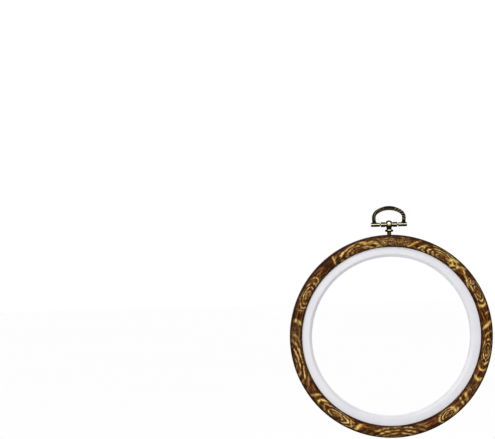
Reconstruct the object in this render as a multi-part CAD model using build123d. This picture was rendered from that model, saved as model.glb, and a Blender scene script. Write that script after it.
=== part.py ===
from build123d import *
import math
import os

# Embroidery hoop: a flexible outer ring, a rigid inner ring pressed in from behind, and a hanger
# whose arch swings on a pin. All sizes are in millimetres. The hoop hangs from the inside of the
# arch, which is the origin: +Z is up, the front faces -Y, and the pin lies along X.

# Outer hoop
HOOP_DIAMETER = 155.0
HOOP_DEPTH = 10.4
BAND_WIDTH = 9.2
DOME_RADIUS = 6.5
SHOULDER_RADIUS = 2.6
LIP_REACH = 2.5
BACK_EDGE_RADIUS = 1.8
SEAT_LEAD_IN = 0.5

# Inner hoop
INNER_RING_WIDTH = 10.0
SEAT_CLEARANCE = 0.1
FABRIC_GAP = 0.1
BACK_RECESS = 0.3
BEVEL_WIDTH = 2.2
BEVEL_DEPTH = 2.0
BEVEL_ROUNDING = 0.8
INNER_EDGE_CHAMFER = 0.5
WINDOW_BACK_CHAMFER = 0.8

# Hanger post: barrel and ball on the pin, bead and necks below them
BARREL_DIAMETER = 3.8
BARREL_LENGTH = 12.5
BALL_DIAMETER = 5.2
BALL_RISE = 0.6
BALL_GROOVE_WIDTH = 0.7
BALL_GROOVE_DEPTH = 0.3
UPPER_NECK_DIAMETER = 3.7
CONE_DIAMETER = 4.7
CONE_BOTTOM = 3.2
BEAD_DIAMETER = 6.4
BEAD_TOP = 3.7
BEAD_THICKNESS = 1.9
LOWER_NECK_DIAMETER = 3.1
LOWER_NECK_SHOWN = 2.2
NECK_SINK = 0.5
POST_SETBACK = 0.6
TURNING_CLEARANCE = 0.1

# Threaded end of the post, with its washer and nut in a pocket of the seat
THREAD_DIAMETER = 2.0
THREAD_PROJECTION = 0.2
WASHER_DIAMETER = 5.0
WASHER_THICKNESS = 0.3
NUT_ACROSS_FLATS = 4.0
NUT_THICKNESS = 1.6
NUT_CORNER_CHAMFER = 0.3
POCKET_CLEARANCE = 0.1
POCKET_SPARE_DEPTH = 0.2

# Hinge pin
PIN_DIAMETER = 1.5
PIN_CLEARANCE = 0.05

# Bail: five tangent arcs from knuckle to knuckle
KNUCKLE_DIAMETER = 3.1
KNUCKLE_LENGTH = 6.75
KNUCKLE_GAP = 0.75
FOOT_OFFSET = 0.5
LEG_SPLAY = 0.65
WIDEST_HEIGHT = 5.2
SIDE_RADIUS = 5.5
CROWN_RADIUS = 16.1
LEG_DIAMETER = 2.8
CROWN_DIAMETER = 3.3
FOOT_WIDTH = 5.2
FLARE_HEIGHT = 2.8

# Round outlines and the arch's section are cut into short flats, which keeps the surfaces simple
FLAT_ANGLE = 30.0
ARCH_SIDES = 12

# Worked out for the hoops: radii from the hoop's axis, depths from its middle
rim_radius = HOOP_DIAMETER / 2
lip_radius = rim_radius - BAND_WIDTH
seat_radius = lip_radius + LIP_REACH
front_depth = -HOOP_DEPTH / 2
back_depth = HOOP_DEPTH / 2
dome_centre_depth = front_depth + DOME_RADIUS
dome_to_shoulder = DOME_RADIUS - SHOULDER_RADIUS
shoulder_offset = BAND_WIDTH / 2 - SHOULDER_RADIUS
shoulder_depth = dome_centre_depth - math.sqrt(dome_to_shoulder**2 - shoulder_offset**2)
inner_outside_radius = seat_radius - SEAT_CLEARANCE
window_radius = inner_outside_radius - INNER_RING_WIDTH
inner_front_depth = shoulder_depth + FABRIC_GAP
inner_back_depth = back_depth - BACK_RECESS

# Worked out for the bail: distances from the pin's axis
knuckle_start = BARREL_LENGTH / 2 + KNUCKLE_GAP
knuckle_end = knuckle_start + KNUCKLE_LENGTH
foot_x = (knuckle_start + knuckle_end) / 2 + FOOT_OFFSET
widest_x = foot_x + LEG_SPLAY
leg_radius = (WIDEST_HEIGHT**2 + LEG_SPLAY**2) / (2 * LEG_SPLAY)
side_centre_x = widest_x - SIDE_RADIUS
crown_centre_height = WIDEST_HEIGHT - math.sqrt((CROWN_RADIUS - SIDE_RADIUS) ** 2 - side_centre_x**2)
shoulder_angle = math.degrees(math.atan2(WIDEST_HEIGHT - crown_centre_height, side_centre_x))
nail_seat_height = crown_centre_height + CROWN_RADIUS - CROWN_DIAMETER / 2

# Places in the hanging frame
pin_z = -nail_seat_height
hoop_top_z = pin_z - BEAD_TOP - BEAD_THICKNESS - LOWER_NECK_SHOWN
hoop_centre_z = hoop_top_z - rim_radius
hoop_place = Pos(0, -POST_SETBACK, hoop_centre_z)
neck_seat_z = hoop_top_z - NECK_SINK
pocket_diameter = WASHER_DIAMETER + 2 * POCKET_CLEARANCE
pocket_depth = WASHER_THICKNESS + NUT_THICKNESS + THREAD_PROJECTION + POCKET_SPARE_DEPTH
pocket_floor_z = hoop_centre_z + seat_radius + pocket_depth
washer_bottom_z = pocket_floor_z - WASHER_THICKNESS
nut_bottom_z = washer_bottom_z - NUT_THICKNESS
thread_end_z = nut_bottom_z - THREAD_PROJECTION


def cylinder_between(low_z, high_z, diameter):
    """An upright cylinder on the post's axis, from one height to another."""
    return Pos(0, 0, (low_z + high_z) / 2) * Cylinder(diameter / 2, high_z - low_z)


def cross_cylinder(start_x, end_x, diameter):
    """A cylinder along the pin's axis."""
    bar = Cylinder(diameter / 2, end_x - start_x)
    return Pos((start_x + end_x) / 2, 0, pin_z) * Rot(0, 90, 0) * bar


def arc_points(centre, radius, start_angle, turn):
    """Points along an arc, no further apart than the flat angle, with both ends."""
    steps = math.ceil(abs(turn) / FLAT_ANGLE)
    angles = [math.radians(start_angle + turn * step / steps) for step in range(steps + 1)]
    return [(centre[0] + radius * math.cos(a), centre[1] + radius * math.sin(a)) for a in angles]


def ring_from(outline):
    """A ring about the hoop's axis, from its section: radius first, then depth."""
    section = make_face(Polyline(*outline, close=True))
    return hoop_place * revolve(section, Axis.Y)


def outer_hoop():
    """Domed ring whose lip covers the inner hoop's rim, with the hole for the post at its top."""
    lean = math.degrees(math.atan2(dome_centre_depth - shoulder_depth, shoulder_offset))
    lip_centre = (lip_radius + SHOULDER_RADIUS, shoulder_depth)
    dome_centre = (rim_radius - BAND_WIDTH / 2, dome_centre_depth)
    rim_centre = (rim_radius - SHOULDER_RADIUS, shoulder_depth)
    back_edge_centre = (rim_radius - BACK_EDGE_RADIUS, back_depth - BACK_EDGE_RADIUS)
    front = arc_points(lip_centre, SHOULDER_RADIUS, 180, lean)[:-1]
    front += arc_points(dome_centre, DOME_RADIUS, 180 + lean, 90 - lean)
    front += arc_points(dome_centre, DOME_RADIUS, 270, 90 - lean)[1:]
    front += arc_points(rim_centre, SHOULDER_RADIUS, -lean, lean)[1:]
    back_edge = arc_points(back_edge_centre, BACK_EDGE_RADIUS, 0, 90)
    seat = [
        (seat_radius + SEAT_LEAD_IN, back_depth),
        (seat_radius, back_depth - SEAT_LEAD_IN),
        (seat_radius, shoulder_depth),
    ]
    ring = ring_from(front + back_edge + seat)
    thread_hole = cylinder_between(hoop_centre_z, hoop_top_z, THREAD_DIAMETER + 2 * TURNING_CLEARANCE)
    neck_diameter = LOWER_NECK_DIAMETER + 2 * TURNING_CLEARANCE
    neck_recess = cylinder_between(neck_seat_z, hoop_top_z + LOWER_NECK_SHOWN, neck_diameter)
    pocket = cylinder_between(hoop_centre_z, pocket_floor_z, pocket_diameter)
    return ring - thread_hole - neck_recess - pocket


def inner_hoop():
    """Ring with a flat front face and a soft bevel down to the window."""
    bevel_angle = math.degrees(math.atan2(BEVEL_WIDTH, BEVEL_DEPTH))
    top_cut = BEVEL_ROUNDING * math.tan(math.radians(90 - bevel_angle) / 2)
    foot_cut = BEVEL_ROUNDING * math.tan(math.radians(bevel_angle) / 2)
    top_centre = (window_radius + BEVEL_WIDTH + top_cut, inner_front_depth + BEVEL_ROUNDING)
    foot_centre = (window_radius + BEVEL_ROUNDING, inner_front_depth + BEVEL_DEPTH + foot_cut)
    front = [
        (inner_outside_radius, inner_front_depth + INNER_EDGE_CHAMFER),
        (inner_outside_radius - INNER_EDGE_CHAMFER, inner_front_depth),
    ]
    bevel = arc_points(top_centre, BEVEL_ROUNDING, 270, bevel_angle - 90)
    bevel += arc_points(foot_centre, BEVEL_ROUNDING, 180 + bevel_angle, -bevel_angle)
    back = [
        (window_radius, inner_back_depth - WINDOW_BACK_CHAMFER),
        (window_radius + WINDOW_BACK_CHAMFER, inner_back_depth),
        (inner_outside_radius - INNER_EDGE_CHAMFER, inner_back_depth),
        (inner_outside_radius, inner_back_depth - INNER_EDGE_CHAMFER),
    ]
    return ring_from(front + bevel + back)


def hanger_post():
    """Turned post with a ball at its top and a barrel through the ball that rides on the pin."""
    half_bead = BEAD_THICKNESS / 2
    neck_radius = UPPER_NECK_DIAMETER / 2
    lower_radius = LOWER_NECK_DIAMETER / 2
    thread_radius = THREAD_DIAMETER / 2
    ball_centre = (0, pin_z + BALL_RISE)
    cone_angle = math.degrees(math.acos(CONE_DIAMETER / BALL_DIAMETER))
    bead_centre = (BEAD_DIAMETER / 2 - half_bead, pin_z - BEAD_TOP - half_bead)
    ball = arc_points(ball_centre, BALL_DIAMETER / 2, 90, -90 - cone_angle)
    neck = [(neck_radius, pin_z - CONE_BOTTOM), (neck_radius, pin_z - BEAD_TOP)]
    bead = arc_points(bead_centre, half_bead, 90, -180)
    foot = [
        (lower_radius, pin_z - BEAD_TOP - BEAD_THICKNESS),
        (lower_radius, neck_seat_z),
        (thread_radius, neck_seat_z),
        (thread_radius, thread_end_z),
        (0, thread_end_z),
    ]
    outline = make_face(Polyline(*ball, *neck, *bead, *foot, close=True))
    post = revolve(Plane.XZ * outline, Axis.Z)
    half_barrel = BARREL_LENGTH / 2
    groove_end = BALL_DIAMETER / 2 + BALL_GROOVE_WIDTH / 2
    core_diameter = BARREL_DIAMETER - 2 * BALL_GROOVE_DEPTH
    for start_x, end_x in ((groove_end, half_barrel), (-half_barrel, -groove_end)):
        post += cross_cylinder(start_x, end_x, BARREL_DIAMETER)
    post += cross_cylinder(-groove_end, groove_end, core_diameter)
    return post - cross_cylinder(-half_barrel, half_barrel, PIN_DIAMETER + 2 * PIN_CLEARANCE)


def nut_washer():
    """Flat washer against the pocket's floor."""
    disc = cylinder_between(washer_bottom_z, pocket_floor_z, WASHER_DIAMETER)
    return disc - cylinder_between(washer_bottom_z, pocket_floor_z, THREAD_DIAMETER)


def post_nut():
    """Hexagon nut whose corners are turned off on the side away from the washer."""
    prism = Pos(0, 0, nut_bottom_z) * extrude(
        RegularPolygon(NUT_ACROSS_FLATS / 2, 6, major_radius=False), NUT_THICKNESS
    )
    corner_radius = NUT_ACROSS_FLATS / math.sqrt(3)
    turned = cylinder_between(nut_bottom_z, washer_bottom_z, 2 * corner_radius)
    free_edge = turned.edges().filter_by(GeomType.CIRCLE).sort_by(Axis.Z)[0]
    turned = chamfer(free_edge, NUT_CORNER_CHAMFER)
    return (prism & turned) - cylinder_between(nut_bottom_z, washer_bottom_z, THREAD_DIAMETER)


def hinge_pin():
    """Pin that ends flush with both knuckles."""
    return cross_cylinder(-knuckle_end, knuckle_end, PIN_DIAMETER)


def bail_path():
    """Centre line of the arch, from the right foot over the crown to the left foot."""
    leg_lean = math.degrees(math.asin(WIDEST_HEIGHT / leg_radius))
    leg_centre_x = widest_x - leg_radius
    arcs = [
        CenterArc((leg_centre_x, WIDEST_HEIGHT), leg_radius, -leg_lean, leg_lean),
        CenterArc((side_centre_x, WIDEST_HEIGHT), SIDE_RADIUS, 0, shoulder_angle),
        CenterArc((0, crown_centre_height), CROWN_RADIUS, shoulder_angle, 180 - 2 * shoulder_angle),
        CenterArc((-side_centre_x, WIDEST_HEIGHT), SIDE_RADIUS, 180 - shoulder_angle, shoulder_angle),
        CenterArc((-leg_centre_x, WIDEST_HEIGHT), leg_radius, 180, leg_lean),
    ]
    return Pos(0, 0, pin_z) * (Plane.XZ * Wire([arc.edge() for arc in arcs]))


def arch_section(path, share, width, depth):
    """Many-sided section across the arch's path, width in its plane and depth from front to back."""
    across = Plane(path.position_at(share), x_dir=(0, -1, 0), z_dir=path.tangent_at(share))
    turns = [2 * math.pi * side / ARCH_SIDES for side in range(ARCH_SIDES)]
    corners = [(depth / 2 * math.cos(turn), width / 2 * math.sin(turn)) for turn in turns]
    return across * make_face(Polyline(*corners, close=True))


def hanger_bail():
    """Arch that thickens to its crown, on flared feet and two knuckles bored for the pin."""
    path = bail_path()
    diameters = {0: LEG_DIAMETER, 0.5: CROWN_DIAMETER, 1: LEG_DIAMETER}
    sections = [arch_section(path, share, size, size) for share, size in diameters.items()]
    bail = sweep(sections, path, multisection=True)
    flare_share = FLARE_HEIGHT / path.length
    for foot, top in ((0, flare_share), (1, 1 - flare_share)):
        wide = arch_section(path, foot, FOOT_WIDTH, LEG_DIAMETER)
        bail += loft([wide, arch_section(path, top, LEG_DIAMETER, LEG_DIAMETER)], ruled=True)
    for start_x, end_x in ((knuckle_start, knuckle_end), (-knuckle_end, -knuckle_start)):
        bail += cross_cylinder(start_x, end_x, KNUCKLE_DIAMETER)
    return bail - cross_cylinder(-knuckle_end, knuckle_end, PIN_DIAMETER)


def main():
    pieces = {
        "outer_hoop": outer_hoop(),
        "inner_hoop": inner_hoop(),
        "hanger_post": hanger_post(),
        "nut_washer": nut_washer(),
        "post_nut": post_nut(),
        "hinge_pin": hinge_pin(),
        "hanger_bail": hanger_bail(),
    }
    os.makedirs("parts", exist_ok=True)
    for node, piece in pieces.items():
        export_step(piece, f"parts/{node}.step")


if __name__ == "__main__":
    main()
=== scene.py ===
"""Dressed model of a round embroidery hoop that hangs from a small brass hanger.

All sizes are in millimetres, turned into metres as they are used. The hoop faces -Y, up is +Z,
and the inside of the hanger's arch is the origin.
"""

import logging
import math
from dataclasses import dataclass
from enum import Enum
from typing import Sequence

import bpy
import numpy as np
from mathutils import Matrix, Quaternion, Vector


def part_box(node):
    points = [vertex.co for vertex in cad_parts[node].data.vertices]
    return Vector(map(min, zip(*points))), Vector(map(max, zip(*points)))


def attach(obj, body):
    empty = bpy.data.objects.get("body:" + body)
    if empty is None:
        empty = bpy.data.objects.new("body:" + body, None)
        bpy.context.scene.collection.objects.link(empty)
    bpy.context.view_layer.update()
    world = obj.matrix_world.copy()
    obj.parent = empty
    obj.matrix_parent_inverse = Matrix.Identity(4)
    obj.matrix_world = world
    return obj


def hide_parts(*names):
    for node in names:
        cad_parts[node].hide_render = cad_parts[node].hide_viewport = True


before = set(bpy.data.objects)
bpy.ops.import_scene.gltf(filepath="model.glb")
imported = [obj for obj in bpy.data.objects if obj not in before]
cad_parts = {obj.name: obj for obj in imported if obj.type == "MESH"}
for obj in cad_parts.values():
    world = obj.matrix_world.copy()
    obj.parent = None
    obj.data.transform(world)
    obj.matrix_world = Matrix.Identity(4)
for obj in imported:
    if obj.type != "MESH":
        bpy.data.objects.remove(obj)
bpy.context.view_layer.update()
log = logging.getLogger("embroidery_hoop")

Flat = tuple[float, float]
Place = tuple[float, float, float]
Colour = tuple[float, float, float]


def metres(value: float) -> float:
    """Turns millimetres into metres."""
    return value / 1000


def paint(colour: Colour) -> tuple[float, float, float, float]:
    """Gives a colour the opacity that a node's socket asks for."""
    return (*colour, 1.0)


def arc(centre: Flat, radius: float, start: float, turn: float, steps: int) -> list[Flat]:
    """Points along an arc, both ends among them.

    Args:
        centre: The arc's centre.
        radius: The arc's radius.
        start: Angle of the first point, in degrees.
        turn: How far the arc goes round, in degrees.
        steps: How many chords the arc has.

    Returns:
        The points, from the first to the last.
    """
    angles = [math.radians(start + turn * step / steps) for step in range(steps + 1)]
    return [(centre[0] + radius * math.cos(a), centre[1] + radius * math.sin(a)) for a in angles]


def run(start: Flat, end: Flat, steps: int) -> list[Flat]:
    """Points along a straight run, without its two ends."""
    shares = [step / steps for step in range(1, steps)]
    return [(start[0] + (end[0] - start[0]) * s, start[1] + (end[1] - start[1]) * s) for s in shares]


class Axis(Enum):
    """The line that a body is turned about or lies along."""

    SIDEWAYS = "X"
    THROUGH = "Y"
    UPRIGHT = "Z"


class Bench:
    """The modelling steps that the pieces share, each made of Blender's own operators."""

    @staticmethod
    def clear() -> None:
        """Leaves edit mode and deselects everything."""
        if bpy.context.object and bpy.context.object.mode != "OBJECT":
            bpy.ops.object.mode_set(mode="OBJECT")
        bpy.ops.object.select_all(action="DESELECT")

    @staticmethod
    def line(name: str, points: Sequence[Place]) -> bpy.types.Object:
        """Draws a line by extruding one vertex from point to point, and stays in edit mode.

        Args:
            name: The new object's name.
            points: The line's points, in metres.

        Returns:
            The object that holds the line.
        """
        Bench.clear()
        bpy.ops.mesh.primitive_plane_add(size=0.001, location=points[0])
        piece = bpy.context.object
        piece.name = name
        bpy.ops.object.mode_set(mode="EDIT")
        bpy.ops.mesh.select_all(action="SELECT")
        bpy.ops.mesh.merge(type="CENTER")
        for start, end in zip(points, points[1:]):
            step = Vector(end) - Vector(start)
            bpy.ops.mesh.extrude_region_move(TRANSFORM_OT_translate={"value": step})
        return piece

    @staticmethod
    def turn_round(piece: bpy.types.Object, axis: Axis, steps: int, centre: Place = (0, 0, 0)) -> None:
        """Turns the drawn line a full turn about an axis and closes the skin that it leaves.

        Args:
            piece: The line, drawn about the origin.
            axis: The axis to turn about.
            steps: How many steps the turn has.
            centre: Where the turned body goes, in millimetres.
        """
        bpy.ops.mesh.select_all(action="SELECT")
        bpy.ops.mesh.remove_doubles(threshold=1e-7)
        Bench.settle(piece)
        modifier = piece.modifiers.new("turn", "SCREW")
        modifier.axis = axis.value
        modifier.steps = modifier.render_steps = steps
        modifier.use_merge_vertices = True
        modifier.merge_threshold = 1e-7
        bpy.ops.object.modifier_apply(modifier=modifier.name)
        bpy.ops.object.mode_set(mode="EDIT")
        bpy.ops.mesh.select_all(action="SELECT")
        bpy.ops.mesh.remove_doubles(threshold=1e-7)
        bpy.ops.mesh.normals_make_consistent(inside=False)
        bpy.ops.object.mode_set(mode="OBJECT")
        piece.location = [metres(v) for v in centre]
        Bench.settle(piece)

    @staticmethod
    def drum(name: str, middle: Place, radius: float, length: float, sides: int) -> bpy.types.Object:
        """Adds a cylinder that lies along the pin and stays in object mode.

        Args:
            name: The new object's name.
            middle: Middle of the cylinder, in millimetres.
            radius: Its radius.
            length: Its length.
            sides: How many sides it has.

        Returns:
            The cylinder.
        """
        Bench.clear()
        bpy.ops.mesh.primitive_cylinder_add(
            vertices=sides,
            radius=metres(radius),
            depth=metres(length),
            location=[metres(v) for v in middle],
            rotation=(0, math.pi / 2, 0),
        )
        piece = bpy.context.object
        piece.name = name
        Bench.settle(piece)
        return piece

    @staticmethod
    def settle(piece: bpy.types.Object) -> None:
        """Puts the object at the origin, unturned and unscaled, with its place in its mesh."""
        Bench.clear()
        piece.select_set(True)
        bpy.context.view_layer.objects.active = piece
        bpy.ops.object.transform_apply(location=True, rotation=True, scale=True)

    @staticmethod
    def smooth(piece: bpy.types.Object, angle: float) -> None:
        """Shades the piece smooth, except over edges sharper than the angle in degrees."""
        Bench.settle(piece)
        bpy.ops.object.shade_smooth_by_angle(angle=math.radians(angle))

    @staticmethod
    def cut(piece: bpy.types.Object, cutter: bpy.types.Object) -> None:
        """Cuts the cutter out of the piece and removes it."""
        Bench.clear()
        bpy.context.view_layer.objects.active = piece
        modifier = piece.modifiers.new("cut", "BOOLEAN")
        modifier.operation = "DIFFERENCE"
        modifier.solver = "EXACT"
        modifier.object = cutter
        bpy.ops.object.modifier_apply(modifier=modifier.name)
        bpy.data.objects.remove(cutter)

    @staticmethod
    def join(piece: bpy.types.Object, others: Sequence[bpy.types.Object]) -> None:
        """Joins the others to the piece."""
        Bench.clear()
        for other in others:
            other.select_set(True)
        piece.select_set(True)
        bpy.context.view_layer.objects.active = piece
        bpy.ops.object.join()

    @staticmethod
    def pick_ends(piece: bpy.types.Object) -> None:
        """Selects the flat faces that look along X, in edit mode."""
        bpy.ops.mesh.select_all(action="DESELECT")
        bpy.ops.object.mode_set(mode="OBJECT")
        for face in piece.data.polygons:
            face.select = abs(face.normal.x) > 0.99
        bpy.ops.object.mode_set(mode="EDIT")

    @staticmethod
    def points(piece: bpy.types.Object) -> np.ndarray:
        """Gives the piece's vertices, in millimetres, one row each."""
        flat = np.zeros(len(piece.data.vertices) * 3)
        piece.data.vertices.foreach_get("co", flat)
        return flat.reshape(-1, 3) * 1000

    @staticmethod
    def keep_field(piece: bpy.types.Object, name: str, values: np.ndarray) -> None:
        """Keeps one number, or one row of three, for each vertex under a name."""
        kind, slot = ("FLOAT", "value") if values.ndim == 1 else ("FLOAT_VECTOR", "vector")
        layer = piece.data.attributes.new(name, kind, "POINT")
        layer.data.foreach_set(slot, values.astype(np.float32).ravel())


class Palette:
    """Adds and joins the shader nodes of one finish."""

    def __init__(self, name: str) -> None:
        """Starts a material with one glossy shader."""
        self.material = bpy.data.materials.new(name)
        self.material.use_nodes = True
        self.tree = self.material.node_tree
        self.tree.nodes.clear()
        output = self.tree.nodes.new("ShaderNodeOutputMaterial")
        self.skin = self.tree.nodes.new("ShaderNodeBsdfPrincipled")
        self.tree.links.new(self.skin.outputs["BSDF"], output.inputs["Surface"])

    def feed(self, socket: bpy.types.NodeSocket, value: object) -> None:
        """Sets a socket to a value, or joins it to another node's output."""
        if isinstance(value, bpy.types.NodeSocket):
            self.tree.links.new(value, socket)
        elif isinstance(value, tuple) and len(value) == 3 and socket.type == "RGBA":
            socket.default_value = paint(value)
        else:
            socket.default_value = value

    def field(self, name: str) -> bpy.types.NodeSocket:
        """Reads a number that is kept on the piece's vertices."""
        node = self.tree.nodes.new("ShaderNodeAttribute")
        node.attribute_name = name
        return node.outputs["Fac"]

    def field_place(self, name: str) -> bpy.types.NodeSocket:
        """Reads a place that is kept on the piece's vertices."""
        node = self.tree.nodes.new("ShaderNodeAttribute")
        node.attribute_name = name
        return node.outputs["Vector"]

    def object_place(self) -> bpy.types.NodeSocket:
        """Reads the place on the object, in metres."""
        return self.tree.nodes.new("ShaderNodeTexCoord").outputs["Object"]

    def stretched(self, place: bpy.types.NodeSocket, scale: Place) -> bpy.types.NodeSocket:
        """Stretches a place by a factor along each axis."""
        node = self.tree.nodes.new("ShaderNodeVectorMath")
        node.operation = "MULTIPLY"
        self.feed(node.inputs[0], place)
        node.inputs[1].default_value = scale
        return node.outputs["Vector"]

    def sum(self, kind: str, first: object, second: object = 0.0,
            third: object = 0.0) -> bpy.types.NodeSocket:
        """Works out one sum, such as MULTIPLY or ADD."""
        node = self.tree.nodes.new("ShaderNodeMath")
        node.operation = kind
        for socket, value in zip(node.inputs, (first, second, third)):
            self.feed(socket, value)
        return node.outputs["Value"]

    def noise(self, place: bpy.types.NodeSocket, scale: float, detail: float = 2.0,
              roughness: float = 0.5, warp: float = 0.0) -> bpy.types.NodeSocket:
        """Makes a cloudy pattern between 0 and 1."""
        node = self.tree.nodes.new("ShaderNodeTexNoise")
        self.feed(node.inputs["Vector"], place)
        node.inputs["Scale"].default_value = scale
        node.inputs["Detail"].default_value = detail
        node.inputs["Roughness"].default_value = roughness
        node.inputs["Distortion"].default_value = warp
        return node.outputs["Fac"]

    def step(self, value: object, low: float, high: float, first: float = 0.0,
             last: float = 1.0) -> bpy.types.NodeSocket:
        """Turns softly from first to last as the value goes from low to high."""
        node = self.tree.nodes.new("ShaderNodeMapRange")
        node.interpolation_type = "SMOOTHSTEP"
        self.feed(node.inputs["Value"], value)
        node.inputs["From Min"].default_value = low
        node.inputs["From Max"].default_value = high
        node.inputs["To Min"].default_value = first
        node.inputs["To Max"].default_value = last
        return node.outputs["Result"]

    def lay(self, share: object, below: object, above: object) -> bpy.types.NodeSocket:
        """Lays one colour over another by a share."""
        node = self.tree.nodes.new("ShaderNodeMix")
        node.data_type = "RGBA"
        self.feed(node.inputs[0], share)
        self.feed(node.inputs[6], below)
        self.feed(node.inputs[7], above)
        return node.outputs[2]

    def ramp(self, share: bpy.types.NodeSocket,
             stops: Sequence[tuple[float, Colour]]) -> bpy.types.NodeSocket:
        """Reads a colour from a row of stops."""
        node = self.tree.nodes.new("ShaderNodeValToRGB")
        while len(node.color_ramp.elements) < len(stops):
            node.color_ramp.elements.new(0.5)
        for element, (place, colour) in zip(node.color_ramp.elements, stops):
            element.position = place
            element.color = paint(colour)
        self.feed(node.inputs["Fac"], share)
        return node.outputs["Color"]

    def emboss(self, height: bpy.types.NodeSocket, depth: float, strength: float) -> None:
        """Presses a height pattern into the skin, depth in millimetres."""
        node = self.tree.nodes.new("ShaderNodeBump")
        node.inputs["Strength"].default_value = strength
        node.inputs["Distance"].default_value = metres(depth)
        self.feed(node.inputs["Height"], height)
        self.feed(self.skin.inputs["Normal"], node.outputs["Normal"])

    def set(self, **values: object) -> None:
        """Sets the shader's own sockets, named with _ for a space."""
        for name, value in values.items():
            self.feed(self.skin.inputs[name.replace("_", " ")], value)


@dataclass(frozen=True)
class WoodEffectVinyl:
    """Polished vinyl printed with a dark, golden-ringed wood figure, with painted shade darkening the dome
    towards its edges.
    """

    # The darkest printed colour, also laid on as painted shade towards the dome's edges.
    darkest_print_and_shade: Colour = (0.014, 0.003, 0.0012)
    heartwood: Colour = (0.06, 0.015, 0.0035)
    reddish: Colour = (0.215, 0.071, 0.019)
    haze: Colour = (0.37, 0.17, 0.034)
    gold: Colour = (0.76, 0.46, 0.08)
    pale_gold: Colour = (1.0, 0.75, 0.3)
    gleam: Colour = (1.0, 0.8, 0.6)
    gloss_level: float = 0.07
    long_stretch: Place = (0.16, 0.16, 1.1)
    fine_stretch: Place = (0.5, 0.5, 2.4)
    cloud_stretch: Place = (0.2, 0.2, 0.35)
    patch_stretch: Place = (0.13, 0.13, 0.3)
    wobble_stretch: Place = (0.25, 0.25, 0.45)
    dash_stretch: Place = (0.9, 0.9, 2.6)

    def material(self) -> bpy.types.Material:
        """Builds the finish from the fields that the band keeps on its vertices."""
        p = Palette("wood_effect_vinyl")
        place = p.field_place("grain_place")
        long_grain = p.noise(p.stretched(place, self.long_stretch), 1.0, 4.0, 0.62, 0.6)
        fine_grain = p.noise(p.stretched(place, self.fine_stretch), 1.0, 3.0, 0.6)
        cloud = p.noise(p.stretched(place, self.cloud_stretch), 1.0, 2.0, 0.5)
        patch = p.noise(p.stretched(place, self.patch_stretch), 1.0, 3.0, 0.6, 1.0)
        wobble = p.noise(p.stretched(place, self.wobble_stretch), 1.0, 3.0, 0.55)
        wood = p.ramp(long_grain, [
            (0.36, self.darkest_print_and_shade),
            (0.46, self.heartwood),
            (0.56, self.reddish),
            (0.72, self.haze),
        ])
        wood = p.lay(p.step(fine_grain, 0.52, 0.68, 0.0, 0.75), wood, self.darkest_print_and_shade)
        ring_share = p.field("ring_share")
        haze = p.sum("MULTIPLY", ring_share, p.step(cloud, 0.38, 0.62, 0.0, 0.6))
        wood = p.lay(haze, wood, self.haze)
        phase = p.sum("MULTIPLY_ADD", wobble, 1.0, p.field("ring_phase"))
        wave = p.sum("COSINE", p.sum("MULTIPLY", phase, math.tau))
        trough = p.sum("MULTIPLY", p.step(wave, -0.1, 0.6), ring_share)
        wood = p.lay(p.sum("MULTIPLY", trough, 0.9), wood, self.heartwood)
        crest = p.sum("MULTIPLY", p.step(wave, 0.0, -0.7), ring_share)
        worn = p.step(fine_grain, 0.42, 0.6, 1.0, 0.35)
        lit = p.step(patch, 0.36, 0.56, 0.2, 1.0)
        crest = p.sum("MULTIPLY", p.sum("MULTIPLY", crest, worn), lit)
        bright = p.lay(p.step(patch, 0.44, 0.58), self.gold, self.pale_gold)
        wood = p.lay(crest, wood, bright)
        bar_gap = p.sum("ADD", p.field("bar_gap"), p.sum("MULTIPLY_ADD", wobble, 1.2, -0.6))
        share = p.sum("MULTIPLY", p.field("bar_share"), worn)
        wood = p.lay(p.sum("MULTIPLY", p.step(bar_gap, 1.6, 0.5), share), wood, self.gold)
        core = p.sum("MULTIPLY", p.step(bar_gap, 0.9, 0.1), p.step(cloud, 0.38, 0.56, 0.35, 1.0))
        wood = p.lay(p.sum("MULTIPLY", core, share), wood, self.pale_gold)
        dash = p.noise(p.stretched(place, self.dash_stretch), 1.0, 2.0, 0.5, 0.8)
        # Short pale dashes on the plain stretches: partly printed figure and partly painted sheen.
        sheen_and_print_dashes = p.sum("MULTIPLY", p.step(dash, 0.56, 0.66), p.field("dash_print_and_sheen"))
        wood = p.lay(p.sum("MULTIPLY", sheen_and_print_dashes, 0.75), wood, self.pale_gold)
        wood = p.lay(p.step(patch, 0.54, 0.36, 0.0, 0.75), wood, self.darkest_print_and_shade)
        # Painted shade towards the dome's edges, partly a darker printed border; the same share roughens
        # the edges.
        wood = p.lay(p.field("edge_print_and_shade"), wood, self.darkest_print_and_shade)
        gloss = p.step(fine_grain, 0.35, 0.65, 0.3, 0.46)
        p.set(Base_Color=wood, Roughness=p.sum("MULTIPLY_ADD", p.field("edge_print_and_shade"), 0.3, gloss),
              Specular_IOR_Level=self.gloss_level, Specular_Tint=self.gleam)
        p.emboss(fine_grain, 0.06, 0.35)
        return p.material


@dataclass(frozen=True)
class WhitePlastic:
    """Smooth moulded plastic, cool white."""

    body: Colour = (0.83, 0.825, 0.86)
    tinted: Colour = (0.78, 0.78, 0.825)

    def material(self) -> bpy.types.Material:
        """Builds the finish with faint flow marks in colour and gloss."""
        p = Palette("white_plastic")
        place = p.object_place()
        flow = p.noise(p.stretched(place, (45.0, 90.0, 45.0)), 1.0, 3.0, 0.55, 0.6)
        skin = p.noise(place, 900.0, 3.0, 0.6)
        p.set(Base_Color=p.lay(p.step(flow, 0.35, 0.7), self.body, self.tinted),
              Roughness=p.step(flow, 0.3, 0.7, 0.3, 0.4), Specular_IOR_Level=0.45)
        p.emboss(skin, 0.02, 0.12)
        return p.material


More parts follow.
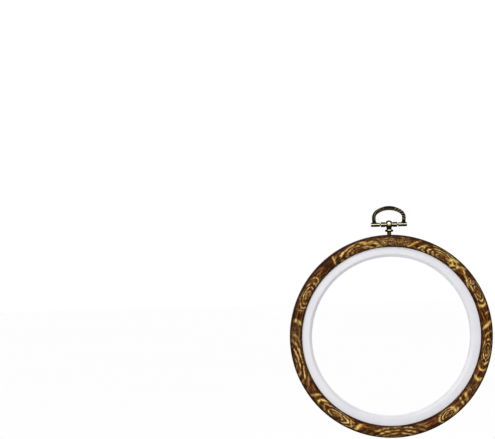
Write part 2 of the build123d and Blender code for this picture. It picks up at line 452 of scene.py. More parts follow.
@dataclass(frozen=True)
class AntiqueBrass:
    """Cast brass, oxidised nearly black all over, with bright brass where it is worn and painted highlights
    where a piece keeps them on its vertices.
    """

    name: str = "antique_brass"
    patina: Colour = (0.007, 0.0045, 0.002)
    olive: Colour = (0.1, 0.076, 0.028)
    highlight_and_rubbed: Colour = (0.9, 0.79, 0.52)
    edge_tint: Colour = (0.3, 0.25, 0.16)
    highlight_and_wear_level: float = 1.0
    carved: bool = True

    def material(self) -> bpy.types.Material:
        """Builds the finish. A carved piece keeps its wear and painted highlights on its vertices, 0 where
        it stays dark; the others take random worn patches.
        """
        p = Palette(self.name)
        place = p.object_place()
        blotch = p.noise(place, 620.0, 3.0, 0.6)
        speck = p.noise(place, 2600.0, 2.0, 0.6)
        # The bright share: painted highlights and worn crests read from the vertices, or random wear on an
        # uncarved piece, broken up by blotches.
        height = p.field("wear_and_highlight") if self.carved else p.step(blotch, 0.3, 0.7)
        worn = p.sum("ADD", height, p.sum("MULTIPLY_ADD", blotch, 0.24, -0.12))
        olive_share = p.step(worn, 0.12, 0.5)
        # The olive share is partly thinly worn patina and partly painted lighter tops; the bright share is
        # painted highlight in cream brass, and rubbed wear.
        highlight_and_wear_share = p.sum("MULTIPLY", p.step(worn, 0.5, 0.9), self.highlight_and_wear_level)
        brass = p.lay(olive_share, self.patina, self.olive)
        brass = p.lay(highlight_and_wear_share, brass, self.highlight_and_rubbed)
        brass = p.lay(p.step(speck, 0.58, 0.75, 0.0, 0.5), brass, self.patina)
        metal = p.sum("MAXIMUM", p.sum("MULTIPLY", olive_share, 0.55), highlight_and_wear_share)
        matt = p.sum("MULTIPLY_ADD", highlight_and_wear_share, -0.24, p.step(speck, 0.3, 0.7, 0.5, 0.66))
        p.set(Base_Color=brass, Metallic=metal, Roughness=matt,
              Specular_IOR_Level=0.2, Specular_Tint=self.edge_tint)
        p.emboss(blotch, 0.04, 0.25)
        return p.material


@dataclass(frozen=True)
class PlatedSteel:
    """Bright plated steel with fine turning marks."""

    body: Colour = (0.6, 0.58, 0.54)
    dulled: Colour = (0.38, 0.36, 0.33)

    def material(self) -> bpy.types.Material:
        """Builds the finish."""
        p = Palette("plated_steel")
        place = p.object_place()
        marks = p.noise(p.stretched(place, (400.0, 400.0, 6000.0)), 1.0, 2.0, 0.5)
        bloom = p.noise(place, 1200.0, 3.0, 0.6)
        p.set(Base_Color=p.lay(p.step(bloom, 0.45, 0.7, 0.0, 0.8), self.body, self.dulled),
              Metallic=1.0, Roughness=p.step(marks, 0.3, 0.7, 0.22, 0.4))
        p.emboss(marks, 0.01, 0.2)
        return p.material


@dataclass(frozen=True)
class Knot:
    """An oval of growth rings on the band.

    The angle goes round the hoop from the right, anticlockwise from the front, in degrees. The
    offset is outwards from the band's middle, and rings counts the gold ovals out to the edge.
    """

    angle: float
    offset: float
    half_length: float
    half_width: float
    rings: float
    strength: float = 1.0


@dataclass(frozen=True)
class Bar:
    """A gold streak that crosses the band.

    Slope is how far it drifts anticlockwise for each millimetre outwards, bow bends its ends
    anticlockwise, and reach is how far it extends to either side of its offset.
    """

    angle: float
    offset: float = 0.0
    slope: float = 0.0
    bow: float = 0.0
    half_width: float = 0.6
    reach: float = 4.0
    strength: float = 1.0


@dataclass(frozen=True)
class PlainPatch:
    """A stretch of the band with short pale dashes in place of rings, in degrees: partly printed figure and
    partly painted sheen.
    """

    angle: float
    half_length: float
    fade: float
    strength: float = 1.0


KNOTS = (
    Knot(-9.0, 0.7, 7.8, 3.1, 2.5),
    Knot(28.0, 0.9, 8.2, 2.9, 2.0, 0.8),
    Knot(34.3, 1.1, 2.6, 1.9, 1.5),
    Knot(58.5, -1.9, 13.0, 5.0, 3.5),
    Knot(111.0, -2.4, 15.5, 5.2, 3.0, 0.9),
    Knot(153.8, -1.4, 8.6, 3.7, 2.5, 0.9),
    Knot(194.5, 4.6, 16.0, 6.6, 3.0, 0.9),
    Knot(235.7, 0.4, 10.9, 3.2, 2.5, 0.95),
    Knot(306.2, 0.8, 6.9, 3.3, 2.5),
    Knot(273.4, 7.6, 19.0, 10.0, 4.5, 0.8),
)

BARS = (
    Bar(6.9, 0.6, 0.75, 0.0, 1.10, 4.0),
    Bar(2.4, 1.6, 0.6, -0.08, 0.65, 3.4, 0.9),
    Bar(14.2, 2.2, 0.5, 0.0, 0.85, 2.2, 0.8),
    Bar(18.7, 0.4, 0.0, 0.22, 0.98, 3.2),
    Bar(38.2, -1.0, 2.4, 0.0, 0.65, 3.2, 0.9),
    Bar(46.4, 0.6, -1.9, 0.0, 0.78, 3.4, 0.9),
    Bar(51.3, 1.4, -1.5, 0.0, 1.23, 2.6),
    Bar(71.6, -0.6, -1.3, 0.0, 0.65, 3.2, 0.85),
    Bar(76.8, 0.0, -1.25, 0.0, 0.78, 3.6, 0.95),
    Bar(99.8, -1.4, 2.0, 0.0, 0.59, 3.4, 0.75),
    Bar(104.6, -2.0, 2.6, 0.0, 0.59, 2.8, 0.7),
    Bar(106.2, 1.4, 2.2, 0.0, 1.30, 2.2, 0.8),
    Bar(127.3, -0.3, -0.25, 0.0, 0.78, 4.0, 0.85),
    Bar(141.9, -0.4, 0.0, 0.3, 0.65, 3.4, 0.85),
    Bar(164.0, 0.0, 0.0, -0.1, 0.59, 3.0, 0.6),
    Bar(170.8, 0.2, -0.22, 0.05, 1.40, 3.8),
    Bar(217.2, 0.2, -0.7, 0.0, 1.10, 3.4, 0.95),
    Bar(221.2, 0.2, -0.33, 0.3, 0.90, 3.6),
    Bar(244.8, 0.4, 0.6, 0.0, 0.65, 2.6, 0.7),
    Bar(249.4, 0.6, -0.5, 0.05, 1.35, 2.9),
    Bar(317.4, -0.2, -0.35, 0.0, 0.91, 3.0, 0.9),
    Bar(320.8, 0.8, -0.7, 0.0, 1.17, 3.4, 0.95),
    Bar(311.0, 0.6, 0.0, -0.13, 1.10, 3.4),
    Bar(333.8, 0.0, 0.0, 0.14, 1.23, 3.4),
    Bar(339.5, 0.2, 0.0, 0.2, 0.85, 3.6, 0.95),
)

PLAIN_PATCHES = (
    PlainPatch(89.0, 11.5, 5.0),
    PlainPatch(178.0, 6.5, 3.0, 0.4),
    PlainPatch(-31.5, 5.0, 3.0, 0.8),
)


@dataclass
class VinylBand:
    """The outer hoop: a domed ring with a lip in front and an open seat behind."""

    centre: Place
    rim_radius: float = 77.5
    depth: float = 10.4
    band_width: float = 9.2
    dome_radius: float = 6.5
    shoulder_radius: float = 2.6
    lip_reach: float = 2.5
    back_edge_radius: float = 1.8
    seat_lead_in: float = 0.5
    edge_softness: float = 0.25
    neck_hole_radius: float = 1.65
    neck_hole_depth: float = 0.5
    thread_hole_radius: float = 1.1
    pocket_radius: float = 2.6
    pocket_depth: float = 2.3
    figure_turn: float = 1.3
    turns: int = 1280
    finish: WoodEffectVinyl = WoodEffectVinyl()

    @property
    def lip_radius(self) -> float:
        """Radius of the lip's inside edge."""
        return self.rim_radius - self.band_width

    @property
    def seat_radius(self) -> float:
        """Radius of the seat that holds the inner hoop."""
        return self.lip_radius + self.lip_reach

    @property
    def dome_centre(self) -> Flat:
        """Centre of the dome's arc: radius, then depth from the hoop's middle."""
        return (self.rim_radius - self.band_width / 2, self.dome_radius - self.depth / 2)

    @property
    def lean(self) -> float:
        """Angle at which a shoulder meets the dome, in degrees."""
        offset = self.band_width / 2 - self.shoulder_radius
        return math.degrees(math.acos(offset / (self.dome_radius - self.shoulder_radius)))

    @property
    def shoulder_depth(self) -> float:
        """Depth of the shoulders' centres."""
        reach = self.dome_radius - self.shoulder_radius
        return self.dome_centre[1] - reach * math.sin(math.radians(self.lean))

    def section(self) -> list[Flat]:
        """Draws the section, radius and depth, from the lip over the dome to the seat and back."""
        back = self.depth / 2
        soft = self.edge_softness
        lip = arc((self.lip_radius + self.shoulder_radius, self.shoulder_depth), self.shoulder_radius,
                  180 + 6, self.lean - 6, 7)
        dome = arc(self.dome_centre, self.dome_radius, 180 + self.lean, 180 - 2 * self.lean, 18)
        rim_side = self.rim_radius - self.shoulder_radius
        rim = arc((rim_side, self.shoulder_depth), self.shoulder_radius, -self.lean, self.lean, 8)
        edge_centre = (self.rim_radius - self.back_edge_radius, back - self.back_edge_radius)
        wall = run(rim[-1], (self.rim_radius, edge_centre[1]), 6)
        edge = arc(edge_centre, self.back_edge_radius, 0, 90, 7)
        lead = (self.seat_radius + self.seat_lead_in, back)
        seat = [lead, (self.seat_radius, back - self.seat_lead_in), (self.seat_radius, self.shoulder_depth)]
        lip_back = arc((self.lip_radius + soft, self.shoulder_depth - soft), soft, 90, 90, 4)
        return lip + dome[1:] + rim[1:] + wall + edge + run(edge[-1], lead, 3) + seat + lip_back + lip[:1]

    def build(self) -> bpy.types.Object:
        """Models the band and cuts the hanger's hole and pocket at its top.

        Returns:
            The dressed band.
        """
        band = Bench.line("vinyl_band", [(metres(r), metres(d), 0.0) for r, d in self.section()])
        Bench.turn_round(band, Axis.THROUGH, self.turns, self.centre)
        Bench.cut(band, self.cutter())
        self.lay_figure(band)
        Bench.smooth(band, 40)
        band.data.materials.append(self.finish.material())
        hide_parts("outer_hoop")
        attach(band, "outer")
        return band

    def cutter(self) -> bpy.types.Object:
        """Turns one stepped tool for the neck's hole, the thread's hole and the nut's pocket."""
        top = self.centre[2] + self.rim_radius
        seat_top = self.centre[2] + self.seat_radius
        floor, step = seat_top + self.pocket_depth, top - self.neck_hole_depth
        outline = [
            (0, top + 2), (self.neck_hole_radius, top + 2), (self.neck_hole_radius, step),
            (self.thread_hole_radius, step), (self.thread_hole_radius, floor),
            (self.pocket_radius, floor), (self.pocket_radius, seat_top - 2), (0, seat_top - 2),
        ]
        tool = Bench.line("stepped_tool", [(metres(r), 0.0, metres(h)) for r, h in outline])
        Bench.turn_round(tool, Axis.UPRIGHT, 64)
        return tool

    def across(self, radius: np.ndarray, depth: np.ndarray) -> np.ndarray:
        """Distance over the skin from the band's middle, outwards positive."""
        offset = radius - self.dome_centre[0]
        past_shoulder = np.maximum(0, depth - (self.shoulder_depth - 1.2))
        return offset + np.sign(offset) * past_shoulder

    def lay_figure(self, band: bpy.types.Object) -> None:
        """Keeps the wood figure's fields on the band's vertices, with the share of painted shade towards
        the dome's edges.
        """
        points = Bench.points(band) - np.array((0, self.centre[1], self.centre[2]))
        radius = np.hypot(points[:, 0], points[:, 2])
        angle = np.degrees(np.arctan2(points[:, 2], points[:, 0])) + self.figure_turn
        across = self.across(radius, points[:, 1])
        middle = self.dome_centre[0]
        weights, share = np.zeros(len(points)), np.zeros(len(points))
        for knot in KNOTS:
            along = self.along(angle, knot.angle)
            out = across - knot.offset
            reach = np.hypot(along / knot.half_length, out / knot.half_width)
            count = knot.rings * np.where(reach < 1, reach, 1 + (reach - 1) * 0.8)
            weights += np.exp(-4 * count)
            paler_inside = 0.3 + 0.7 * np.clip((reach - 0.25) / 0.6, 0, 1)
            share = np.maximum(share, knot.strength * paler_inside * np.clip((1.5 - reach) / 0.4, 0, 1))
        gap, bar_share = np.full(len(points), 4.0), np.zeros(len(points))
        for bar in BARS:
            out = across - bar.offset
            drift = self.along(angle, bar.angle) - bar.slope * out - bar.bow * out**2
            distance = np.abs(drift) / np.hypot(1, bar.slope + 2 * bar.bow * out) / bar.half_width
            fade = bar.strength * np.clip((bar.reach + 0.6 - np.abs(out)) / 1.2, 0, 1)
            nearer = distance + (1 - fade) < gap
            gap = np.where(nearer, distance + (1 - fade), gap)
            bar_share = np.where(nearer, fade, bar_share)
        plain = np.zeros(len(points))
        for patch in PLAIN_PATCHES:
            away = np.abs((angle - patch.angle + 180) % 360 - 180)
            shown = np.clip((patch.half_length - away) / patch.fade, 0, 1)
            plain = np.maximum(plain, patch.strength * shown)
        # Painted shade that darkens the dome towards both edges, partly a darker printed border.
        outer_edge = np.clip((across - 1.6) / 2.6, 0, 1) ** 1.3
        inner_edge = np.clip((-across - 2.0) / 2.2, 0, 1) ** 1.3
        edge = 0.92 * np.maximum(outer_edge, 0.9 * inner_edge) * np.clip((8 - np.abs(across)) / 3, 0.6, 1)
        turn = np.radians(angle)
        place = np.stack((middle * np.cos(turn), middle * np.sin(turn), across), axis=1)
        Bench.keep_field(band, "grain_place", place)
        Bench.keep_field(band, "ring_phase", -np.log(weights + 1e-12) / 4)
        Bench.keep_field(band, "ring_share", share)
        Bench.keep_field(band, "bar_gap", gap)
        Bench.keep_field(band, "bar_share", bar_share)
        Bench.keep_field(band, "dash_print_and_sheen", plain)
        Bench.keep_field(band, "edge_print_and_shade", edge)

    def along(self, angle: np.ndarray, start: float) -> np.ndarray:
        """Distance round the band's middle from a starting angle, anticlockwise positive."""
        return np.radians((angle - start + 180) % 360 - 180) * self.dome_centre[0]


@dataclass
class WhiteRing:
    """The inner hoop: a flat-faced ring with a soft bevel down to the window."""

    centre: Place
    outside_radius: float = 70.7
    ring_width: float = 10.0
    front_depth: float = -1.948
    back_depth: float = 4.9
    bevel_width: float = 2.2
    bevel_depth: float = 2.0
    bevel_rounding: float = 0.8
    edge_rounding: float = 0.5
    window_back_rounding: float = 0.8
    turns: int = 720
    finish: WhitePlastic = WhitePlastic()

    def section(self) -> list[Flat]:
        """Draws the section, radius and depth, from the front's outside edge inwards."""
        window = self.outside_radius - self.ring_width
        lean = math.degrees(math.atan2(self.bevel_width, self.bevel_depth))
        soft = self.bevel_rounding
        top_cut = soft * math.tan(math.radians(90 - lean) / 2)
        foot_cut = soft * math.tan(math.radians(lean) / 2)
        edge = self.edge_rounding
        outer = self.outside_radius - edge
        front = arc((outer, self.front_depth + edge), edge, 0, -90, 6)
        top = arc((window + self.bevel_width + top_cut, self.front_depth + soft), soft, 270, lean - 90, 6)
        foot_depth = self.front_depth + self.bevel_depth + foot_cut
        foot = arc((window + soft, foot_depth), soft, 180 + lean, -lean, 6)
        behind = self.window_back_rounding
        inside = arc((window + behind, self.back_depth - behind), behind, 180, -90, 6)
        back = arc((outer, self.back_depth - edge), edge, 90, -90, 6)
        return front + top + foot + inside + back + front[:1]

    def build(self) -> bpy.types.Object:
        """Models the ring by spinning its section.

        Returns:
            The dressed ring.
        """
        ring = Bench.line("white_ring", [(metres(r), metres(d), 0.0) for r, d in self.section()])
        Bench.turn_round(ring, Axis.THROUGH, self.turns, self.centre)
        Bench.smooth(ring, 40)
        ring.data.materials.append(self.finish.material())
        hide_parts("inner_hoop")
        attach(ring, "inner")
        return ring


@dataclass
class TurnedPost:
    """The hanger's post: ball, cone, bead and necks, with a cross barrel on the pin."""

    pin_height: float
    ball_radius: float = 2.6
    ball_rise: float = 0.6
    ball_squareness: float = 0.82
    bell: tuple[Flat, ...] = ((2.34, -0.7), (2.28, -1.3), (2.2, -1.9), (2.08, -2.5), (1.93, -3.0))
    upper_neck_radius: float = 1.85
    lower_neck_radius: float = 1.55
    bead_radius: float = 3.2
    bead_top: float = 3.7
    bead_thickness: float = 1.9
    foot_bottom: float = 8.3
    thread_radius: float = 1.0
    thread_end: float = 14.3
    barrel_radius: float = 1.9
    barrel_start: float = 2.95
    barrel_end: float = 6.25
    core_radius: float = 1.6
    waist_fillet: float = 0.3
    thread_chamfer: float = 0.2
    bore_radius: float = 0.8
    edge_rounding: float = 0.25
    turns: int = 72
    finish: AntiqueBrass = AntiqueBrass()

    def section(self) -> list[Flat]:
        """Draws half the post's outline, radius and height over the pin, from the top down."""
        ball = []
        for step in range(25):
            turn = math.radians(90 - step * 4.6)
            out = self.ball_radius * max(0.0, math.cos(turn)) ** self.ball_squareness
            rise = self.ball_radius * abs(math.sin(turn)) ** self.ball_squareness
            ball.append((out, self.ball_rise + math.copysign(rise, math.sin(turn))))
        half = self.bead_thickness / 2
        bead = arc((self.bead_radius - half, -self.bead_top - half), half, 115, -230, 18)
        fillet = self.waist_fillet
        under = -self.bead_top - self.bead_thickness - fillet
        waist = arc((self.lower_neck_radius + fillet, under), fillet, 150, 30, 3)
        neck = [
            (self.upper_neck_radius, -self.bead_top + 0.35),
            (self.upper_neck_radius + 0.05, -self.bead_top + 0.02),
        ]
        shank = [(self.lower_neck_radius, -self.foot_bottom), (self.thread_radius, -self.foot_bottom)]
        worn = self.thread_chamfer
        end = [(self.thread_radius, -self.thread_end + worn), (self.thread_radius - worn, -self.thread_end)]
        return ball + list(self.bell) + neck + bead + waist + shank + end + [(0, -self.thread_end)]

    def build(self) -> bpy.types.Object:
        """Models the turned body and the two halves of the barrel.

        Returns:
            The dressed post.
        """
        post = Bench.line("turned_post", [(metres(r), 0.0, metres(h)) for r, h in self.section()])
        Bench.turn_round(post, Axis.UPRIGHT, self.turns, (0, 0, self.pin_height))
        halves = [self.barrel_half(side) for side in (-1, 1)]
        core_length = 2 * self.barrel_start + 0.4
        core = Bench.drum("barrel_core", (0, 0, self.pin_height), self.core_radius, core_length, 48)
        Bench.join(post, [*halves, core])
        self.keep_painted_highlights(post)
        Bench.smooth(post, 40)
        post.data.materials.append(self.finish.material())
        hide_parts("hanger_post")
        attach(post, "post")
        return post

    def barrel_half(self, side: int) -> bpy.types.Object:
        """Models one half of the barrel, with rounded ends and the pin's hole.

        Args:
            side: 1 for the right half, -1 for the left one.

        Returns:
            The half barrel.
        """
        length = self.barrel_end - self.barrel_start
        middle = side * (self.barrel_start + self.barrel_end) / 2
        half = Bench.drum("barrel_half", (middle, 0, self.pin_height), self.barrel_radius, length, 96)
        bore_ends(half, self.barrel_radius, self.bore_radius, self.edge_rounding, length / 3)
        return half

    def keep_painted_highlights(self, post: bpy.types.Object) -> None:
        """Keeps painted highlights on the upper front and back: a spot and a lighter cap on the ball, bands
        along the barrel halves and the bead, a lighter barrel top and neck.
        """
        points = Bench.points(post)
        height = points[:, 2] - self.pin_height
        sideways, front = np.abs(points[:, 0]), np.abs(points[:, 1])
        lying = sideways > self.barrel_start - 0.1
        # Painted highlight along the barrel just above the pin's axis, and a painted lighter top above it.
        barrel = lying * painted_light_band(height / self.barrel_radius, 0.0, 0.36)
        from_spot = np.hypot(sideways, height - self.ball_rise - 0.15)
        ball = (~lying) * (front > 1.2) * np.clip((1.6 - from_spot) / 0.6, 0, 1)
        ball = np.maximum(ball, 0.4 * (~lying) * (height > -0.9) * np.clip((2.7 - from_spot) / 0.5, 0, 1))
        bead_height = height + self.bead_top + self.bead_thickness / 2
        bead = (np.abs(bead_height) < self.bead_thickness * 0.6) * painted_light_band(bead_height, 0.2, 0.9)
        bead = bead * np.clip((1.6 - sideways) / 0.6, 0, 1) * (front > 1.7)
        neck = 0.5 * (height < -self.bead_top - self.bead_thickness) * np.clip((0.9 - sideways) / 0.5, 0, 1)
        top = 0.24 * painted_light_band(height / self.barrel_radius, 0.5, 1.2) * lying
        wear_and_highlight = np.maximum.reduce([ball, barrel, bead, neck, top])
        Bench.keep_field(post, "wear_and_highlight", np.clip(wear_and_highlight, 0, 1))


def painted_light_band(height: np.ndarray, low: float, high: float) -> np.ndarray:
    """Gives 1 between two heights and fades to 0 beyond them: a band of painted highlight or painted
    lighter top on a round part.
    """
    return np.clip((height - low + 0.1) / 0.2, 0, 1) * np.clip((high + 0.15 - height) / 0.3, 0, 1)


def bore_ends(tube: bpy.types.Object, radius: float, bore: float, rounding: float, depth: float) -> None:
    """Rounds a lying cylinder's end edges and sinks a hole for the pin into both ends.

    Args:
        tube: The cylinder, along X.
        radius: Its radius.
        bore: The hole's radius.
        rounding: The rounding of the end edges.
        depth: How deep the hole goes.
    """
    bpy.context.view_layer.objects.active = tube
    bpy.ops.object.mode_set(mode="EDIT")
    Bench.pick_ends(tube)
    bpy.ops.mesh.bevel(offset=metres(rounding), offset_type="OFFSET", segments=4, affect="EDGES")
    Bench.pick_ends(tube)
    bpy.ops.mesh.inset(thickness=metres(radius - rounding - bore), depth=0)
    bpy.ops.mesh.extrude_region_move()
    Bench.clear()
    ends = [face for face in tube.data.polygons if face.select]
    for face in ends:
        inward = -metres(depth) if face.normal.x > 0 else metres(depth)
        for corner in face.vertices:
            tube.data.vertices[corner].co.x += inward


@dataclass
class RopeBail:
    """The hanger's arch, carved like rope on both arms, with a plain crown and two knuckles."""

    pin_height: float
    knuckle_radius: float = 1.55
    knuckle_start: float = 7.0
    knuckle_end: float = 13.75
    pin_radius: float = 0.76
    edge_rounding: float = 0.3
    foot_offset: float = 0.5
    leg_splay: float = 0.65
    widest_height: float = 5.2
    side_radius: float = 5.5
    crown_radius: float = 16.1
    leg_radius: float = 1.4
    crown_tube_radius: float = 1.65
    foot_half_width: float = 2.6
    flare_height: float = 2.8
    plain_crown: float = 3.3
    right_strands: int = 3
    right_twist: float = 0.95
    left_strands: int = 6
    left_twist: float = 0.12
    carving_depth: float = 0.26
    sides: int = 48
    finish: AntiqueBrass = AntiqueBrass()

    def arcs(self) -> list[tuple[Flat, float, float, float]]:
        """Centre, radius, first angle and turn of each arc, from the right foot to the left one."""
        foot = (self.knuckle_start + self.knuckle_end) / 2 + self.foot_offset
        widest = foot + self.leg_splay
        leg = (self.widest_height**2 + self.leg_splay**2) / (2 * self.leg_splay)
        lean = math.degrees(math.asin(self.widest_height / leg))
        side = widest - self.side_radius
        drop = math.sqrt((self.crown_radius - self.side_radius) ** 2 - side**2)
        crown = self.widest_height - drop
        shoulder = math.degrees(math.atan2(drop, side))
        return [
            ((widest - leg, self.widest_height), leg, -lean, lean),
            ((side, self.widest_height), self.side_radius, 0, shoulder),
            ((0, crown), self.crown_radius, shoulder, 180 - 2 * shoulder),
            ((-side, self.widest_height), self.side_radius, 180 - shoulder, shoulder),
            ((leg - widest, self.widest_height), leg, 180, lean),
        ]

    def build(self) -> bpy.types.Object:
        """Models the arch by spinning a circle along its arcs, carves it and adds the knuckles.

        Returns:
            The dressed bail.
        """
        arcs = self.arcs()
        centre, radius, start, _ = arcs[0]
        turn = math.radians(start)
        foot_height = self.pin_height + centre[1] + radius * math.sin(turn)
        foot = (centre[0] + radius * math.cos(turn), 0, foot_height)
        Bench.clear()
        bpy.ops.mesh.primitive_circle_add(
            vertices=self.sides,
            radius=metres(self.leg_radius),
            location=[metres(v) for v in foot],
            rotation=(0, -turn, 0),
        )
        bail = bpy.context.object
        bail.name = "rope_bail"
        bpy.ops.object.mode_set(mode="EDIT")
        bpy.ops.mesh.select_all(action="SELECT")
        for centre, radius, start, turn in arcs:
            length = radius * math.radians(turn)
            place = [metres(v) for v in (centre[0], 0, self.pin_height + centre[1])]
            bpy.ops.mesh.spin(
                steps=max(4, round(length / 0.16)), angle=math.radians(turn), center=place, axis=(0, 1, 0)
            )
        bpy.ops.mesh.select_all(action="SELECT")
        bpy.ops.mesh.remove_doubles(threshold=1e-7)
        bpy.ops.mesh.select_all(action="DESELECT")
        bpy.ops.mesh.select_non_manifold(extend=False, use_boundary=True)
        bpy.ops.mesh.fill_holes(sides=0)
        bpy.ops.mesh.select_all(action="SELECT")
        bpy.ops.mesh.normals_make_consistent(inside=False)
        Bench.settle(bail)
        wear_and_highlight = self.carve(bail)
        Bench.keep_field(bail, "wear_and_highlight", wear_and_highlight)
        knuckles = [self.knuckle(side) for side in (-1, 1)]
        Bench.join(bail, knuckles)
        Bench.smooth(bail, 50)
        bail.data.materials.append(self.finish.material())
        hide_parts("hanger_bail")
        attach(bail, "bail")
        return bail

    def carve(self, bail: bpy.types.Object) -> np.ndarray:
        """Moves the tube's vertices to its flared, tapering and carved shape.

        Args:
            bail: The plain tube.

        Returns:
            How bright each vertex is painted, from 0 in the grooves to 1 on the strands: worn and
            highlighted crests, a painted highlight along the plain crown and lighter feet.
        """
        track, ahead, gone = [], [], []
        travelled = 0.0
        for centre, radius, start, turn in self.arcs():
            for step in range(120):
                a = math.radians(start + turn * step / 120)
                height = self.pin_height + centre[1] + radius * math.sin(a)
                track.append((centre[0] + radius * math.cos(a), height))
                ahead.append((-math.sin(a), math.cos(a)))
                gone.append(travelled + radius * math.radians(turn) * step / 120)
            travelled += radius * math.radians(turn)
        track, ahead, gone = np.array(track), np.array(ahead), np.array(gone)
        points = Bench.points(bail)
        flat = points[:, (0, 2)]
        nearest = np.argmin(((flat[:, None, :] - track[None, :, :]) ** 2).sum(axis=2), axis=1)
        ahead, base = ahead[nearest], track[nearest]
        offset = flat - base
        slip = (offset * ahead).sum(axis=1)
        base = base + ahead * slip[:, None]
        outward = np.stack((ahead[:, 1], -ahead[:, 0]), axis=1)
        travel = gone[nearest] + slip
        out = ((flat - base) * outward).sum(axis=1)
        around = np.arctan2(-points[:, 1], out)
        middle = travelled / 2
        grow = 1 - np.abs(travel - middle) / middle
        radius = self.leg_radius + (self.crown_tube_radius - self.leg_radius) * grow
        to_foot = np.minimum(travel, travelled - travel)
        flare = np.clip(1 - to_foot / self.flare_height, 0, 1) ** 1.6
        width = radius + (self.foot_half_width - self.leg_radius) * flare
        from_plain = np.clip((np.abs(travel - middle) - self.plain_crown) / 0.5, 0, 1)
        from_foot = np.clip((to_foot - 3.2) / 0.8, 0, 1)
        carved = from_plain * from_foot
        right = travel < middle
        twist = np.where(right, self.right_twist, self.left_twist) * (travel - middle)
        strands = np.where(right, self.right_strands, self.left_strands)
        strand = np.abs(np.cos(strands * (around - twist) / 2))
        sunk = self.carving_depth * (1 - np.sqrt(np.clip(strand, 0, 1))) * carved
        width, thick = width - sunk, radius - sunk
        placed = base + outward * (width * np.cos(around))[:, None]
        points[:, 0], points[:, 2] = placed[:, 0], placed[:, 1]
        points[:, 1] = -thick * np.sin(around)
        bail.data.vertices.foreach_set("co", (points / 1000).ravel())
        bail.data.update()
        # Strand crests are worn bright and painted as highlights; the plain crown gets a painted highlight
        # along its lower side, and the feet are painted lighter.
        crest = np.clip((strand - 0.86) / 0.14, 0, 1) * carved
        plain = painted_light_band(np.cos(around), -0.55, -0.25) * (1 - from_plain)
        return np.clip(0.7 * crest + 0.6 * plain + 0.4 * flare, 0, 1)

    def knuckle(self, side: int) -> bpy.types.Object:
        """Models one knuckle, with rounded ends and the pin's hole.

        Args:
            side: 1 for the right one, -1 for the left one.

        Returns:
            The knuckle.
        """
        length = self.knuckle_end - self.knuckle_start
        middle = side * (self.knuckle_start + self.knuckle_end) / 2
        tube = Bench.drum("knuckle", (middle, 0, self.pin_height), self.knuckle_radius, length, 96)
        bore_ends(tube, self.knuckle_radius, self.pin_radius, self.edge_rounding, length / 3)
        height = (Bench.points(tube)[:, 2] - self.pin_height) / self.knuckle_radius
        # A painted highlight band just above the pin's axis, and a painted lighter top.
        wear_and_highlight = np.maximum(painted_light_band(height, 0.05, 0.45), 0.24 * painted_light_band(height, 0.5, 1.2))
        Bench.keep_field(tube, "wear_and_highlight", wear_and_highlight)
        return tube


def dress_node(node: str, finish: bpy.types.Material) -> None:
    """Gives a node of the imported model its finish."""
    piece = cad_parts[node]
    piece.data.materials.clear()
    piece.data.materials.append(finish)


@dataclass(frozen=True)
class Lamp:
    """A rectangular soft lamp: place and size in metres, power in watts."""

    name: str
    place: Place
    size: Flat
    power: float


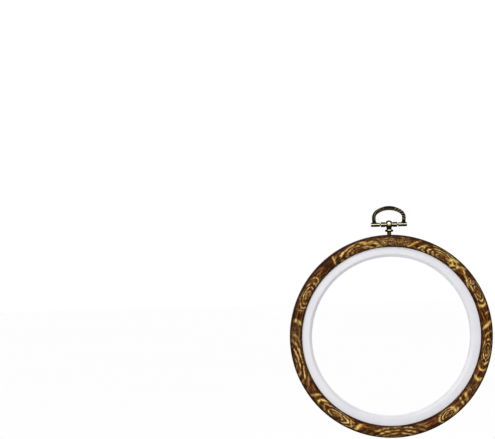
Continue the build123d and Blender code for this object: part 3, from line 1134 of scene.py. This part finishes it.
@dataclass
class Studio:
    """The pale floor, the soft light and the camera."""

    hoop_centre: Place
    floor_height: float = -420.0
    azimuth: float = -5.0
    elevation: float = 4.0
    roll: float = -1.3
    distance: float = 2200.0
    pixels_per_mm: float = 1.308
    hoop_pixel: Flat = (391.7, 335.95)
    picture: Flat = (495.0, 439.0)
    floor_glow: float = 0.62
    soft_level: float = 0.38
    aim_above_hoop: float = 45.0
    lamps: tuple[Lamp, ...] = (
        Lamp("front_lamp", (-0.5, -0.9, 0.3), (0.7, 0.6), 5.6),
        Lamp("top_lamp", (0.0, -0.75, 0.85), (0.9, 0.3), 3.4),
        Lamp("back_lamp", (0.3, 1.5, 0.9), (1.0, 1.0), 7.0),
    )

    def build(self) -> None:
        """Sets up the floor, the lamps, the surroundings and the camera."""
        self.lay_floor()
        self.light()
        self.surround()
        self.aim()

    def lay_floor(self) -> None:
        """Lays a wide pale floor below the hanging hoop, which the camera sees as near white."""
        Bench.clear()
        bpy.ops.mesh.primitive_circle_add(vertices=128, radius=6.0, fill_type="NGON",
                                          location=(0, 0, metres(self.floor_height)))
        floor = bpy.context.object
        floor.name = "pale_floor"
        Bench.settle(floor)
        p = Palette("pale_floor")
        mottling = p.noise(p.object_place(), 3.0, 3.0, 0.5)
        seen = p.tree.nodes.new("ShaderNodeLightPath").outputs["Is Camera Ray"]
        p.set(Base_Color=p.lay(mottling, (0.8, 0.8, 0.8), (0.84, 0.84, 0.84)), Roughness=0.9,
              Emission_Color=(1.0, 1.0, 1.0), Emission_Strength=p.sum("MULTIPLY", seen, self.floor_glow))
        floor.data.materials.append(p.material)

    def light(self) -> None:
        """Hangs a large soft lamp in front, a long one above it and a dim one behind."""
        middle = Vector((0, 0, metres(self.hoop_centre[2] + self.aim_above_hoop)))
        for lamp in self.lamps:
            data = bpy.data.lights.new(lamp.name, "AREA")
            data.shape = "RECTANGLE"
            data.size, data.size_y = lamp.size
            data.energy = lamp.power
            hung = bpy.data.objects.new(lamp.name, data)
            hung.location = lamp.place
            hung.rotation_euler = (middle - Vector(lamp.place)).to_track_quat("-Z", "Y").to_euler()
            bpy.context.scene.collection.objects.link(hung)

    def surround(self) -> None:
        """Surrounds the scene with soft light, which camera and mirror rays see as plain white."""
        world = bpy.data.worlds.new("soft_studio")
        world.use_nodes = True
        tree = world.node_tree
        tree.nodes.clear()
        output = tree.nodes.new("ShaderNodeOutputWorld")
        rays = tree.nodes.new("ShaderNodeLightPath")
        seen = rays.outputs["Is Camera Ray"]
        for kind in ("Is Glossy Ray", "Is Transmission Ray"):
            either = tree.nodes.new("ShaderNodeMath")
            either.operation = "MAXIMUM"
            tree.links.new(seen, either.inputs[0])
            tree.links.new(rays.outputs[kind], either.inputs[1])
            seen = either.outputs[0]
        choice = tree.nodes.new("ShaderNodeMixShader")
        tree.links.new(seen, choice.inputs[0])
        for socket, strength in zip(choice.inputs[1:], (self.soft_level, 1.0)):
            background = tree.nodes.new("ShaderNodeBackground")
            background.inputs["Color"].default_value = (1, 1, 1, 1)
            background.inputs["Strength"].default_value = strength
            tree.links.new(background.outputs[0], socket)
        tree.links.new(choice.outputs[0], output.inputs["Surface"])
        bpy.context.scene.world = world

    def aim(self) -> None:
        """Places the camera where the photograph was taken from."""
        a, e, r = (math.radians(v) for v in (self.azimuth, self.elevation, self.roll))
        back = Vector((math.sin(a) * math.cos(e), -math.cos(a) * math.cos(e), math.sin(e)))
        level = Vector((0, 0, 1)).cross(back).normalized()
        upright = back.cross(level)
        right = level * math.cos(r) + upright * math.sin(r)
        up = back.cross(right)
        hoop = Vector([metres(v) for v in self.hoop_centre])
        left_by = metres((self.hoop_pixel[0] - self.picture[0] / 2) / self.pixels_per_mm)
        above_by = metres((self.hoop_pixel[1] - self.picture[1] / 2) / self.pixels_per_mm)
        target = hoop - right * left_by + up * above_by
        data = bpy.data.cameras.new("camera")
        data.sensor_width = 36.0
        width = metres(self.picture[0] / self.pixels_per_mm)
        data.lens = 36.0 * metres(self.distance) / width
        camera = bpy.data.objects.new("camera", data)
        camera.location = hoop + back * metres(self.distance)
        turn = (camera.location - target).to_track_quat("Z", "Y") @ Quaternion((0, 0, 1), r)
        camera.rotation_euler = turn.to_euler()
        bpy.context.scene.collection.objects.link(camera)
        bpy.context.scene.camera = camera


def main() -> None:
    """Builds the hoop piece by piece and reports each one."""
    logging.basicConfig(level=logging.INFO, format="%(message)s")
    low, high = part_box("outer_hoop")
    pin_low, pin_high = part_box("hinge_pin")
    middle = (low + high) / 2 * 1000
    hoop_centre = (0.0, middle.y, high.z * 1000 - VinylBand.rim_radius)
    pin_height = (pin_low.z + pin_high.z) * 500
    bpy.context.scene.view_settings.view_transform = "Standard"
    makers = (
        VinylBand(hoop_centre),
        WhiteRing(hoop_centre),
        TurnedPost(pin_height),
        RopeBail(pin_height),
    )
    for maker in makers:
        piece = maker.build()
        log.info("%s: %d faces", piece.name, len(piece.data.polygons))
    dress_node("hinge_pin", AntiqueBrass(name="pin_brass", highlight_and_wear_level=0.6, carved=False).material())
    steel = PlatedSteel().material()
    for node in ("nut_washer", "post_nut"):
        dress_node(node, steel)
    log.info("hinge_pin, nut_washer, post_nut: dressed")
    Studio(hoop_centre).build()
    log.info("studio: ready")


if __name__ == "__main__":
    main()
